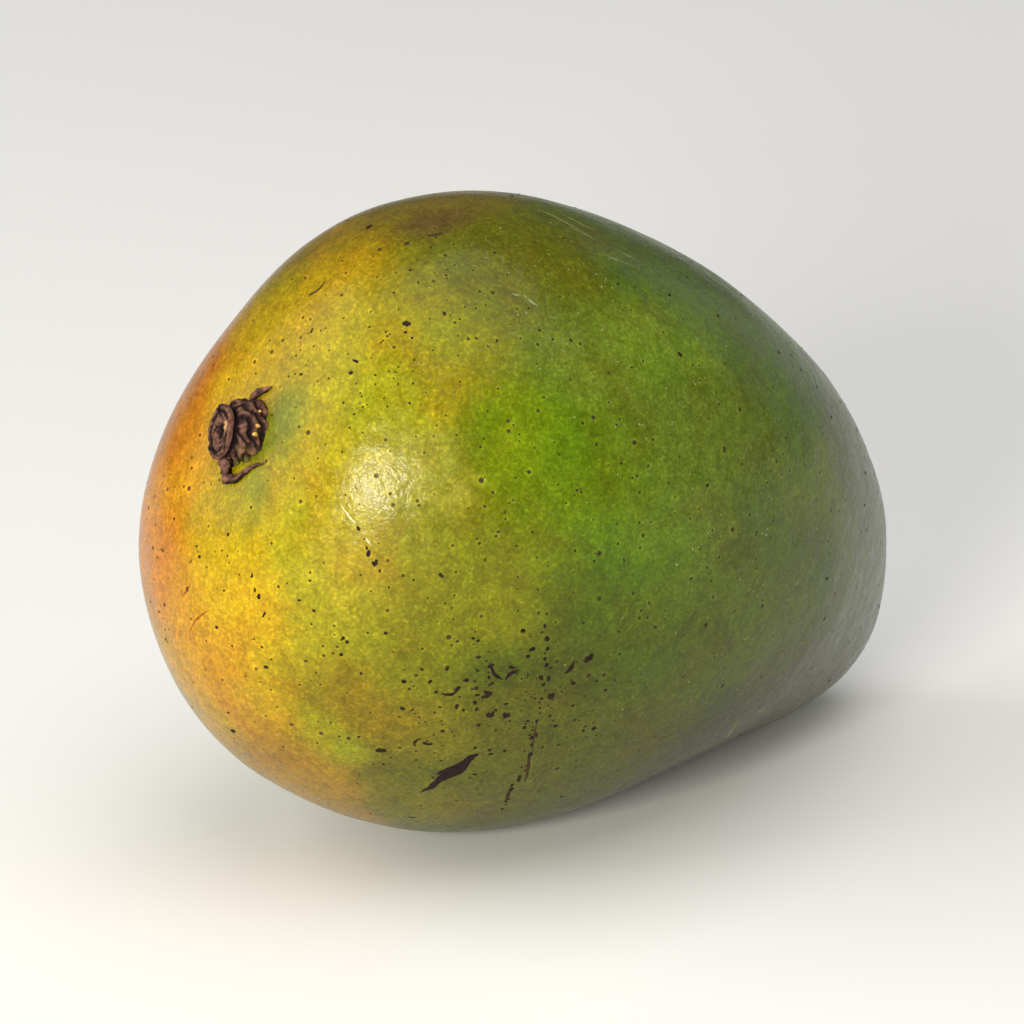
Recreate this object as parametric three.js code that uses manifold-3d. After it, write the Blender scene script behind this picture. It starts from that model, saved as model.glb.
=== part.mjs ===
// A mango lying on its belly: the fruit, which grew as one solid piece, and the dry stub of its stalk.
// Millimetres, +Z up. The origin is the middle of the small flat spot that the fruit rests on.
// The stem end points to -X and the tip to +X, a little lower.
import * as THREE from "three";
import { mergeVertices } from "three/addons/utils/BufferGeometryUtils.js";
import Module from "manifold-3d";

const wasm = await Module();
wasm.setup();

// The fruit in its own frame, before it is laid down:
// +X from the stem end to the tip, +Y to the belly, where the beak is, and +Z to one cheek.
const LENGTH = 116.5; // of the plain egg that the swellings stand on
const WIDTH = 86.2; // back to belly
const THICKNESS = 72.5; // cheek to cheek
const TAPER = 0.23; // share by which the tip is slimmer, and the stem end fuller, than the middle
const END_PINCH = 0.11; // share by which both ends are slimmer than the middle
const CURL = 2.7; // how far the tip bends towards the belly
const STEM_CURL = -0.2; // the stem end bends this share of CURL, the other way

// Each swelling or hollow stands over one direction and fades with the angle from it.
// round: degrees in the middle plane from the tip (0) by the belly (90) to the stem end (180).
// cheek: degrees out of that plane, to the +Z cheek. height in mm, spread in degrees.
const STEM_ROUND = 185.1;
const SWELLINGS = [
  { what: "belly shoulder", round: 139.4, cheek: 0, height: 4.5, spread: 44.4 },
  { what: "back shoulder", round: -130.3, cheek: 0, height: 2.5, spread: 26.5 },
  { what: "flattened back", round: -93.8, cheek: 0, height: -3.5, spread: 35 },
  { what: "hollow above the beak", round: 55.3, cheek: 0, height: -2.5, spread: 26 },
  { what: "beak", round: 25.7, cheek: 0, height: 7.9, spread: 26 },
  { what: "stem cavity", round: STEM_ROUND, cheek: 0, height: -3, spread: 17 },
  { what: "dry point on the beak", round: 14, cheek: 0, height: 0.7, spread: 2.6 },
  { what: "fuller belly", round: 100, cheek: -23, height: 0.6, spread: 15 },
  { what: "side of the hollow", round: 63, cheek: -39, height: -0.7, spread: 15 },
  { what: "side of the beak", round: 32, cheek: -27, height: 0.5, spread: 13 },
  { what: "ridge to the tip", round: -35, cheek: -16, height: 0.2, spread: 18 },
  { what: "rise behind the shoulder", round: -144, cheek: 27, height: 0.4, spread: 15 },
  { what: "dip beside the stem", round: -166, cheek: 31, height: -0.7, spread: 14 },
  { what: "rise below the stem", round: 161, cheek: 25, height: 0.5, spread: 15 },
  { what: "slack belly", round: 120, cheek: -11, height: -0.2, spread: 16 },
];

// How the fruit lies
const ROLL = -78.7; // degrees about its length: the belly goes down
const PITCH = 18.8; // degrees: the tip goes down
const FLAT_DEPTH = 0.8; // how far the resting spot is pressed in

// The stub of the stalk. Its frame stands on the skin, +Z along the stub and +X to the fruit's back.
const STUB_TO_BELLY = 6; // degrees that the stub leans from the fruit's length to the belly
const STUB_TO_CHEEK = 15.4; // and to the +Z cheek
const SKIN_GAP = 0.3; // between the stub and the fruit under it
const STUB_ROOT = -4.6; // the stub starts this deep, before the fruit's surface cuts it off
const STUB_FOOT = 5; // its radius at the skin
const STUB_PROFILE = [
  // radius, height, and how strongly the bark's folds show
  [5.2, STUB_ROOT, 1],
  [5.2, -1.2, 1],
  [STUB_FOOT, -0.2, 1],
  [4.5, 0.7, 1],
  [3.8, 1.35, 0.8],
  [3.3, 1.6, 0.5],
  [3.1, 1.85, 0.3],
  [3.4, 2.05, 0.3],
  [3.75, 2.3, 0.4],
  [3.75, 2.75, 0.4],
  [3.4, 3.0, 0.5],
  [2.2, 2.85, 0.6],
  [1.0, 2.65, 0.6],
];
// Folds round the stub: how many, share of the radius, phase, and radians that they turn by the mm of height.
const STUB_FOLDS = [
  { count: 2, share: 0.05, phase: 0.4, turn: 0.1 },
  { count: 5, share: 0.055, phase: 1.9, turn: 0.3 },
  { count: 9, share: 0.035, phase: 0.7, turn: -0.4 },
  { count: 16, share: 0.02, phase: 2.6, turn: 0.9 },
];
// Dry scales at the stub's foot, left of the flower. They lie on the skin: turn in degrees round from the
// fruit's back, how far their middle stands off the stub's side, half sizes, and their own twist.
const SCALES = [
  { turn: -14, off: 0.8, along: 1.5, across: 0.7, thick: 0.8, twist: -55 },
  { turn: 186, off: -0.9, along: 1.6, across: 0.8, thick: 1, twist: 8 },
  { turn: 205, off: -0.2, along: 1.7, across: 0.6, thick: 0.8, twist: -4 },
  { turn: 226, off: 0.5, along: 1.7, across: 0.5, thick: 0.7, twist: 0 },
  { turn: 96, off: -1.1, along: 1.4, across: 0.8, thick: 0.8, twist: 12 },
];

// How finely the curved surfaces are split
const FRUIT_DETAIL = 16; // 20 * 17 * 17 triangles
const STUB_SEGMENTS = 64;
const SCALE_SEGMENTS = 12;
const MERGE_WITHIN = 1e-4;

const SKIN_COLOUR = 0x8a961c;
const STALK_COLOUR = 0x56372a;

const radians = THREE.MathUtils.degToRad;

// The unit vector of a direction in the fruit's frame.
function toward(round, cheek = 0) {
  const inPlane = Math.cos(radians(cheek));
  return new THREE.Vector3(
    Math.cos(radians(round)) * inPlane,
    Math.sin(radians(round)) * inPlane,
    Math.sin(radians(cheek)),
  );
}

const LOBES = SWELLINGS.map(({ round, cheek, height, spread }) => ({
  axis: toward(round, cheek),
  height,
  spread: radians(spread),
}));

// The point of the fruit's skin over a unit direction, grown outwards by a margin.
function skin(direction, margin = 0) {
  const girth = 1 - TAPER * direction.x - END_PINCH * direction.x ** 2;
  const bend = CURL * direction.x ** 2 * (direction.x > 0 ? 1 : STEM_CURL);
  const point = new THREE.Vector3(
    (direction.x * LENGTH) / 2,
    (direction.y * WIDTH * girth) / 2 + bend,
    (direction.z * THICKNESS * girth) / 2,
  );
  for (const lobe of LOBES) {
    const angle = direction.angleTo(lobe.axis);
    point.addScaledVector(direction, lobe.height * Math.exp(-((angle / lobe.spread) ** 2)));
  }
  return point.addScaledVector(direction, margin);
}

// The whole fruit as a closed geometry: an even ball, each vertex moved out to the skin.
function fruitGeometry(margin = 0) {
  const geometry = new THREE.IcosahedronGeometry(1, FRUIT_DETAIL);
  const position = geometry.getAttribute("position");
  const direction = new THREE.Vector3();
  for (let i = 0; i < position.count; i++) {
    direction.fromBufferAttribute(position, i).normalize();
    position.setXYZ(i, ...skin(direction, margin).toArray());
  }
  return geometry;
}

// How far a fold pushes the stub's side out or in, as a factor on its radius.
function folded(angle, height, strength) {
  const push = ({ count, share, phase, turn }) => share * Math.cos(count * angle + phase + turn * height);
  return 1 + strength * STUB_FOLDS.reduce((sum, fold) => sum + push(fold), 0);
}

// The bark collar, the groove and the broken end in one turned shape, then folded all round.
function stubGeometry() {
  const [, rootHeight] = STUB_PROFILE[0];
  const [, endHeight, endStrength] = STUB_PROFILE[STUB_PROFILE.length - 1];
  const rows = [[0, rootHeight, 1], ...STUB_PROFILE, [0, endHeight - 0.05, endStrength]];
  const profile = rows.map(([radius, height]) => new THREE.Vector2(radius, height));
  const geometry = new THREE.LatheGeometry(profile, STUB_SEGMENTS).rotateX(Math.PI / 2);
  const position = geometry.getAttribute("position");
  for (let i = 0; i < position.count; i++) {
    const [x, y, z] = [position.getX(i), position.getY(i), position.getZ(i)];
    const factor = folded(Math.atan2(y, x), z, rows[i % rows.length][2]);
    position.setXY(i, x * factor, y * factor);
  }
  return geometry;
}

// One dry scale, a flattened grain that lies round the stub's foot.
function scaleGeometry({ turn, off, along, across, thick, twist }) {
  const reach = STUB_FOOT * folded(radians(turn), 0, 1) + off;
  return new THREE.SphereGeometry(1, SCALE_SEGMENTS, SCALE_SEGMENTS)
    .rotateX(Math.PI / 2)
    .scale(across, along, thick)
    .rotateZ(radians(twist))
    .translate(reach, 0, 0)
    .rotateZ(radians(turn));
}

// Stands a geometry on the skin at the stem, with its +Z along a direction of the fruit's frame.
function standAtStem(geometry, up) {
  const back = new THREE.Vector3(0, -1, 0).addScaledVector(up, up.y).normalize();
  const side = new THREE.Vector3().crossVectors(up, back);
  const foot = skin(toward(STEM_ROUND));
  return geometry.applyMatrix4(new THREE.Matrix4().makeBasis(back, side, up).setPosition(foot));
}

// The skin's outward normal at the stem, from two short steps along the skin.
function skinNormalAtStem(step = 1) {
  const across = skin(toward(STEM_ROUND + step)).sub(skin(toward(STEM_ROUND - step)));
  const sideways = skin(toward(STEM_ROUND, step)).sub(skin(toward(STEM_ROUND, -step)));
  return across.cross(sideways).normalize();
}

// The way that the stub points, in the fruit's frame.
function stubAxis() {
  const axis = new THREE.Vector3(-1, Math.tan(radians(STUB_TO_BELLY)), Math.tan(radians(STUB_TO_CHEEK)));
  return axis.normalize();
}

// Turns a geometry from the fruit's frame to the way that the fruit lies.
function layDown(geometry) {
  return geometry.rotateX(radians(ROLL)).rotateY(radians(PITCH));
}

// A closed geometry as a solid that can be cut and joined.
function solidOf(geometry) {
  const bare = geometry.index ? geometry.toNonIndexed() : geometry.clone();
  bare.deleteAttribute("normal");
  bare.deleteAttribute("uv");
  const merged = mergeVertices(bare, MERGE_WITHIN);
  return new wasm.Manifold(
    new wasm.Mesh({
      numProp: 3,
      vertProperties: merged.getAttribute("position").array,
      triVerts: new Uint32Array(merged.index.array),
    }),
  );
}

// A solid as a geometry that three.js can show.
function geometryOf(solid) {
  const { vertProperties, triVerts } = solid.getMesh();
  const geometry = new THREE.BufferGeometry();
  geometry.setAttribute("position", new THREE.BufferAttribute(vertProperties, 3));
  geometry.setIndex(new THREE.BufferAttribute(triVerts, 1));
  geometry.computeVertexNormals();
  return geometry;
}

// The fruit, pressed flat where it rests: all below the plane z = 0 is cut away.
function restingFruit(drop) {
  const size = 2 * LENGTH;
  const ground = new THREE.BoxGeometry(size, size, size).translate(0, 0, -size / 2);
  return solidOf(layDown(fruitGeometry()).translate(0, 0, drop)).subtract(solidOf(ground));
}

// The stub with its scales, cut off just clear of the fruit's skin.
function restingStub(drop) {
  const normal = skinNormalAtStem();
  const scales = SCALES.map((scale) => standAtStem(scaleGeometry(scale), normal));
  const pieces = [standAtStem(stubGeometry(), stubAxis()), ...scales].map((piece) =>
    solidOf(layDown(piece).translate(0, 0, drop)),
  );
  const grown = solidOf(layDown(fruitGeometry(SKIN_GAP)).translate(0, 0, drop));
  return pieces.reduce((sum, piece) => sum.add(piece)).subtract(grown);
}

// The middle of the flat spot, from the vertices that lie in it.
function flatMiddle(geometry) {
  const position = geometry.getAttribute("position");
  const spot = new THREE.Box3();
  const vertex = new THREE.Vector3();
  for (let i = 0; i < position.count; i++) {
    vertex.fromBufferAttribute(position, i);
    if (vertex.z < MERGE_WITHIN) spot.expandByPoint(vertex);
  }
  return spot.getCenter(new THREE.Vector3());
}

function mesh(name, geometry, color, roughness) {
  const made = new THREE.Mesh(geometry, new THREE.MeshStandardMaterial({ color, roughness, metalness: 0 }));
  made.name = name;
  return made;
}

const whole = layDown(fruitGeometry());
whole.computeBoundingBox();
const drop = -whole.boundingBox.min.z - FLAT_DEPTH;

const fruit = geometryOf(restingFruit(drop));
const stub = geometryOf(restingStub(drop));
const middle = flatMiddle(fruit);

const mango = new THREE.Group();
mango.name = "mango";
mango.add(mesh("fruit", fruit.translate(-middle.x, -middle.y, 0), SKIN_COLOUR, 0.45));
mango.add(mesh("stem_stub", stub.translate(-middle.x, -middle.y, 0), STALK_COLOUR, 0.85));

export default mango;
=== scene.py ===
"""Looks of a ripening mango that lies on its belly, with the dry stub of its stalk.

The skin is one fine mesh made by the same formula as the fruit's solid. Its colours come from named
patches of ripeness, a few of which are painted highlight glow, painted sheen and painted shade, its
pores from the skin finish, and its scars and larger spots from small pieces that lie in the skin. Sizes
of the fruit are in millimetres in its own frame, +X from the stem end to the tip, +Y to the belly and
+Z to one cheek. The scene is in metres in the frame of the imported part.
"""

import logging
import math
import random
from collections.abc import Iterable
from dataclasses import dataclass, field
from enum import Enum
from functools import partial

import bmesh
import bpy
import numpy as np
from mathutils import Matrix, Quaternion, Vector, noise

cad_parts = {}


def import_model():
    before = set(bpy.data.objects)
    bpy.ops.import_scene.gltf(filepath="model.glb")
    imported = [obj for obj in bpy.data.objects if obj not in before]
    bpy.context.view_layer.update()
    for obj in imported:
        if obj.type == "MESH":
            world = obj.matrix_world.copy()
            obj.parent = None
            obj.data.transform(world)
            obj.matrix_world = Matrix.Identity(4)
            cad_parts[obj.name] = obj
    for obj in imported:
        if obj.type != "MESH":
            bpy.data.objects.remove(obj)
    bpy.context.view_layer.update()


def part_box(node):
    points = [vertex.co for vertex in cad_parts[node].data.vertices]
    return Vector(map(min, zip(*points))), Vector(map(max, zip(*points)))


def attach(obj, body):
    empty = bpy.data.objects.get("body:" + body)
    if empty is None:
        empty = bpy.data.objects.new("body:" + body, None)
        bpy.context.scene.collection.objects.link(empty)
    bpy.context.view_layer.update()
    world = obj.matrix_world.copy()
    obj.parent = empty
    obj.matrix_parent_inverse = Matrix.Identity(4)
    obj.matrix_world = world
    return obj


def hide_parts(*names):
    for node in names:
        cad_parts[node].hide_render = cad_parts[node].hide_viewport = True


LOG = logging.getLogger("mango")
MM = 0.001
STEM_TURN = 185.1
Colour = tuple[float, float, float]
Range = tuple[float, float]
Socket = bpy.types.NodeSocket


def toward(turn: float, cheek: float = 0.0) -> np.ndarray:
    """Finds the unit vector of a direction from the middle of the fruit.

    Args:
        turn: Degrees in the middle plane from the tip by the belly (90) to the stem end (180).
        cheek: Degrees out of the middle plane, to the +Z cheek.

    Returns:
        The direction in the fruit's own frame.
    """
    a, c = math.radians(turn), math.radians(cheek)
    return np.array([math.cos(a) * math.cos(c), math.sin(a) * math.cos(c), math.sin(c)])


def turned(axis: str, degrees: float) -> np.ndarray:
    """Makes the 3 by 3 matrix of a turn about the X or Y axis.

    Args:
        axis: "X" or "Y".
        degrees: The angle, by the right-hand rule.

    Returns:
        The matrix, for column vectors.
    """
    return np.array(Matrix.Rotation(math.radians(degrees), 3, axis))


def mesh_object(name: str, shape: bmesh.types.BMesh) -> bpy.types.Object:
    """Turns a finished bmesh into a smooth-shaded object at the origin.

    Args:
        name: The piece's name.
        shape: The bmesh, in metres in the part's frame. It is freed.

    Returns:
        The new object, linked to the scene.
    """
    mesh = bpy.data.meshes.new(name)
    shape.to_mesh(mesh)
    shape.free()
    mesh.polygons.foreach_set("use_smooth", [True] * len(mesh.polygons))
    piece = bpy.data.objects.new(name, mesh)
    bpy.context.scene.collection.objects.link(piece)
    return piece


def move_vertices(vertices: Iterable[bmesh.types.BMVert], places: np.ndarray) -> None:
    """Moves vertices to new places, which are given one a row and in order."""
    for vertex, place in zip(vertices, places):
        vertex.co = place


def smooth_noise(points: np.ndarray, lump: float = 1.0) -> np.ndarray:
    """Reads a smooth random value at each of some points.

    Args:
        points: The points, one a row.
        lump: The size of the noise's lumps, in the points' own unit.

    Returns:
        One value for each point, about -1 to 1.
    """
    return np.array([noise.noise(Vector(point) / lump) for point in points])


def bump(values: np.ndarray, middle: float, width: float, power: int = 2) -> np.ndarray:
    """Gives 1 where values are at the middle, falling to nothing about a width away."""
    return np.exp(-(((values - middle) / width) ** power))


@dataclass(frozen=True)
class Lobe:
    """A swelling or hollow over one direction, which fades with the angle from it."""

    name: str
    turn: float
    cheek: float
    height: float
    spread: float

    def weight(self, directions: np.ndarray) -> np.ndarray:
        """Tells how strongly the lobe acts on each direction.

        Args:
            directions: Unit vectors, one a row.

        Returns:
            Numbers from 0 to 1.
        """
        cosine = np.clip(directions @ toward(self.turn, self.cheek), -1.0, 1.0)
        return np.exp(-((np.arccos(cosine) / math.radians(self.spread)) ** 2))


def fruit_lobes() -> tuple[Lobe, ...]:
    """Lists the swellings and hollows of the fruit, from the shoulders to the beak.

    Returns:
        The lobes, with their heights in millimetres and their spreads in degrees.
    """
    return (
        Lobe("belly shoulder", 139.4, 0, 4.5, 44.4),
        Lobe("back shoulder", -130.3, 0, 2.5, 26.5),
        Lobe("flattened back", -93.8, 0, -3.5, 35),
        Lobe("hollow above the beak", 55.3, 0, -2.5, 26),
        Lobe("beak", 25.7, 0, 7.9, 26),
        Lobe("stem cavity", STEM_TURN, 0, -3, 17),
        Lobe("dry point on the beak", 14, 0, 0.7, 2.6),
        Lobe("fuller belly", 100, -23, 0.6, 15),
        Lobe("side of the hollow", 63, -39, -0.7, 15),
        Lobe("side of the beak", 32, -27, 0.5, 13),
        Lobe("ridge to the tip", -35, -16, 0.2, 18),
        Lobe("rise behind the shoulder", -144, 27, 0.4, 15),
        Lobe("dip beside the stem", -166, 31, -0.7, 14),
        Lobe("rise below the stem", 161, 25, 0.5, 15),
        Lobe("slack belly", 120, -11, -0.2, 16),
    )


@dataclass
class FruitForm:
    """The form of the fruit and the way it lies, shared by everything that sits on its skin."""

    length: float = 116.5
    width: float = 86.2
    thickness: float = 72.5
    taper: float = 0.23
    end_pinch: float = 0.11
    curl: float = 2.7
    stem_curl: float = -0.2
    roll: float = -78.7
    pitch: float = 18.8
    inset: float = 0.12
    sink: float = 0.2
    broad_dent: float = 17.0
    broad_depth: float = 0.22
    small_dent: float = 6.0
    small_depth: float = 0.07
    lobes: tuple[Lobe, ...] = field(default_factory=fruit_lobes)
    shift: np.ndarray = field(default_factory=lambda: np.zeros(3))

    @property
    def rest_turn(self) -> np.ndarray:
        """The turn from the fruit's own frame to the way it lies."""
        return turned("Y", self.pitch) @ turned("X", self.roll)

    def skin(self, directions: np.ndarray) -> np.ndarray:
        """Finds the skin's points over some directions.

        Args:
            directions: Unit vectors in the fruit's own frame, one a row.

        Returns:
            Points in millimetres in the fruit's own frame, one a row.
        """
        x, y, z = directions.T
        girth = 1.0 - self.taper * x - self.end_pinch * x * x
        bend = self.curl * x * x * np.where(x > 0, 1.0, self.stem_curl)
        points = np.stack(
            [x * self.length / 2, y * self.width / 2 * girth + bend, z * self.thickness / 2 * girth], axis=1
        )
        height = sum(lobe.height * lobe.weight(directions) for lobe in self.lobes) - self.inset
        return points + directions * height[:, None]

    def uneven_skin(self, directions: np.ndarray) -> np.ndarray:
        """Finds the skin's points with the low dents and rises of a grown fruit.

        Args:
            directions: Unit vectors in the fruit's own frame, one a row.

        Returns:
            Points in millimetres in the fruit's own frame, one a row.
        """
        points = self.skin(directions)
        broad = smooth_noise(points, self.broad_dent)
        small = smooth_noise(points, self.small_dent)
        depth = self.sink + self.broad_depth * broad + self.small_depth * small
        return points - directions * depth[:, None]

    def laid(self, points: np.ndarray) -> np.ndarray:
        """Lays points of the fruit's own frame down in the part's frame.

        Args:
            points: Points in millimetres, one a row.

        Returns:
            Points in metres.
        """
        return points @ self.rest_turn.T * MM + self.shift

    def settle(self, skin: np.ndarray, low: Vector, high: Vector) -> None:
        """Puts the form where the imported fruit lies, from the box that it fills.

        Args:
            skin: Points all over the skin, in millimetres in the fruit's own frame.
            low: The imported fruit's lowest corner.
            high: Its highest corner.
        """
        self.shift = np.zeros(3)
        points = self.laid(skin)
        middle = (points.min(0) + points.max(0)) / 2
        self.shift = np.array([(low.x + high.x) / 2, (low.y + high.y) / 2, 0.0]) - middle
        self.shift[2] = high.z - self.inset * MM - points[:, 2].max()


class SkinChart:
    """A small flat map round one spot of the skin, used to lay marks on it."""

    def __init__(self, form: FruitForm, turn: float, cheek: float, heading: float = 0.0) -> None:
        """Sets up the map.

        Args:
            form: The fruit's form.
            turn: The spot's direction round the middle plane, in degrees.
            cheek: Its direction out of that plane, in degrees.
            heading: Degrees that the map's first axis is turned from the way to the tip.
        """
        self.form = form
        self.centre = toward(turn, cheek)
        pole = np.array([0.0, 0.0, 1.0])
        side = np.cross(pole, self.centre)
        self.sideways = side / np.linalg.norm(side)
        self.polewards = np.cross(self.centre, self.sideways)
        step = 1e-3
        slopes = [
            (self._over(self.centre + step * way) - self._over(self.centre - step * way)) / (2 * step)
            for way in (self.sideways, self.polewards)
        ]
        normal = np.cross(*slopes)
        self.normal = normal / np.linalg.norm(normal)
        ahead = np.array([1.0, 0.0, 0.0]) - self.normal * self.normal[0]
        ahead /= np.linalg.norm(ahead)
        across = np.cross(self.normal, ahead)
        a = math.radians(heading)
        self.ahead = ahead * math.cos(a) + across * math.sin(a)
        self.across = np.cross(self.normal, self.ahead)
        flat = np.array([[slope @ axis for slope in slopes] for axis in (self.ahead, self.across)])
        self.to_directions = np.linalg.inv(flat)

    def _over(self, direction: np.ndarray) -> np.ndarray:
        """Finds the skin's point over one direction of any length."""
        return self.form.skin((direction / np.linalg.norm(direction))[None])[0]

    def place(self, points: np.ndarray) -> np.ndarray:
        """Lays points of the map on the skin.

        Args:
            points: Millimetres along the map's two axes and above the skin, one point a row.

        Returns:
            Points in metres in the part's frame.
        """
        steps = points[:, :2] @ self.to_directions.T
        ways = self.centre + steps[:, :1] * self.sideways + steps[:, 1:] * self.polewards
        ways /= np.linalg.norm(ways, axis=1)[:, None]
        return self.form.laid(self.form.uneven_skin(ways) + self.normal * points[:, 2:])


@dataclass(frozen=True)
class Lumps:
    """A cloudy noise: its lumps' size in millimetres, its finer layers, their strength and its twist."""

    size: float
    layers: float
    strength: float = 0.5
    twist: float = 0.0


class Graph:
    """A material's node tree, with short ways to add and join nodes."""

    MIX_COLOURS = (6, 7)
    MIX_RESULT = 2

    def __init__(self, name: str) -> None:
        """Starts a material that has only its shader and its output.

        Args:
            name: The material's name.
        """
        self.material = bpy.data.materials.new(name)
        self.material.use_nodes = True
        self.tree = self.material.node_tree
        self.shader = self.tree.nodes["Principled BSDF"]
        self.place = self.add("ShaderNodeTexCoord").outputs["Object"]

    def add(self, kind: str, **settings: object) -> bpy.types.Node:
        """Adds one node.

        Args:
            kind: The node's type name.
            **settings: Its properties.

        Returns:
            The new node.
        """
        node = self.tree.nodes.new(kind)
        for name, value in settings.items():
            setattr(node, name, value)
        return node

    def feed(self, socket: Socket, value: object) -> None:
        """Puts a number, a colour or another node's output into a socket.

        Args:
            socket: The input socket.
            value: What goes in.
        """
        if isinstance(value, Socket):
            self.tree.links.new(value, socket)
        elif isinstance(value, tuple) and len(value) == 3 and socket.type == "RGBA":
            socket.default_value = (*value, 1.0)
        else:
            socket.default_value = value

    def maths(self, operation: str, *values: object, clamp: bool = False) -> Socket:
        """Adds one sum, product or other step on numbers.

        Args:
            operation: The Math node's operation.
            *values: Its inputs.
            clamp: Whether the result is kept from 0 to 1.

        Returns:
            The result's socket.
        """
        node = self.add("ShaderNodeMath", operation=operation, use_clamp=clamp)
        for socket, value in zip(node.inputs, values):
            self.feed(socket, value)
        return node.outputs[0]

    def noise(self, lumps: Lumps) -> Socket:
        """Adds a cloudy noise.

        Args:
            lumps: Its size and kind.

        Returns:
            The noise's value, about 0.5 in the middle.
        """
        node = self.add("ShaderNodeTexNoise")
        self.feed(node.inputs["Vector"], self.place)
        self.feed(node.inputs["Scale"], 1.0 / (lumps.size * MM))
        self.feed(node.inputs["Detail"], lumps.layers)
        self.feed(node.inputs["Roughness"], lumps.strength)
        self.feed(node.inputs["Distortion"], lumps.twist)
        return node.outputs["Fac"]

    def between(
        self, value: object, low: float, high: float, start: float = 0.0, end: float = 1.0
    ) -> Socket:
        """Stretches a part of a value's range, with nothing beyond its ends.

        Args:
            value: The value's socket.
            low: Where the range starts.
            high: Where it ends.
            start: What the start becomes.
            end: What the end becomes.

        Returns:
            The stretched value's socket.
        """
        node = self.add("ShaderNodeMapRange")
        ends = {"Value": value, "From Min": low, "From Max": high, "To Min": start, "To Max": end}
        for name, number in ends.items():
            self.feed(node.inputs[name], number)
        return node.outputs[0]

    def mixed(self, share: object, first: object, second: object, blend: str = "MIX") -> Socket:
        """Mixes two colours.

        Args:
            share: How much of the second colour.
            first: The first colour.
            second: The second colour.
            blend: The way they are mixed.

        Returns:
            The mixed colour's socket.
        """
        node = self.add("ShaderNodeMix", data_type="RGBA", blend_type=blend)
        self.feed(node.inputs[0], share)
        for index, colour in zip(self.MIX_COLOURS, (first, second)):
            self.feed(node.inputs[index], colour)
        return node.outputs[self.MIX_RESULT]

    def painted(self, name: str) -> bpy.types.Node:
        """Reads an attribute that the mesh carries."""
        return self.add("ShaderNodeAttribute", attribute_name=name)

    def relief(self, height: Socket, depth: float, below: Socket | None = None) -> Socket:
        """Adds a layer of bump.

        Args:
            height: The layer's height, from 0 to 1.
            depth: How deep it is, in millimetres.
            below: The layer under it.

        Returns:
            The bumped normal's socket.
        """
        node = self.add("ShaderNodeBump")
        self.feed(node.inputs["Height"], height)
        self.feed(node.inputs["Distance"], depth * MM)
        self.feed(node.inputs["Strength"], 1.0)
        if below is not None:
            self.feed(node.inputs["Normal"], below)
        return node.outputs[0]


@dataclass(frozen=True)
class PoreLayer:
    """One layer of the skin's pores: dark dots in paler rings, spread at random in space."""

    cell: float
    radius: float
    ring: float
    share: float
    grows: float
    smallest: float = 0.55
    largest: float = 1.25
    solid: float = 0.7
    faded: float = 1.1

    def masks(self, graph: Graph, crowding: Socket) -> tuple[Socket, Socket]:
        """Works out where the dots and their rings are.

        Args:
            graph: The skin's nodes.
            crowding: How crowded the pores are, 0 to 1, at each place.

        Returns:
            The dots' mask and the rings' mask.
        """
        cells = graph.add("ShaderNodeTexVoronoi", feature="F1")
        graph.feed(cells.inputs["Vector"], graph.place)
        graph.feed(cells.inputs["Scale"], 1.0 / (self.cell * MM))
        luck = graph.add("ShaderNodeSeparateColor")
        graph.feed(luck.inputs[0], cells.outputs["Color"])
        limit = graph.maths("MULTIPLY_ADD", crowding, self.grows, self.share)
        kept = graph.maths("LESS_THAN", luck.outputs[1], limit)
        size = graph.between(luck.outputs[0], 0.0, 1.0, self.smallest, self.largest)
        away = graph.maths("DIVIDE", cells.outputs["Distance"], size)
        reach = self.radius / self.cell
        dot = graph.between(away, reach * self.solid, reach * self.faded, 1.0, 0.0)
        ring = graph.between(away, reach, self.ring / self.cell, 1.0, 0.0)
        return graph.maths("MULTIPLY", dot, kept), graph.maths("MULTIPLY", ring, kept)


class SkinNoise(Enum):
    """The cloudy noises that mottle the skin."""

    CLOUDS = Lumps(10.0, 5.0, 0.62, 0.6)
    BLUSH = Lumps(15.0, 4.0, 0.6)
    PATCHES = Lumps(1.9, 3.0, 0.65)
    GRAIN = Lumps(0.5, 2.0, 0.7)


@dataclass(frozen=True)
class Mottle:
    """A tint that multiplies the skin's colour where a noise goes from one value to another."""

    noise: SkinNoise
    none: float
    full: float
    most: float
    tint: Colour


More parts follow.
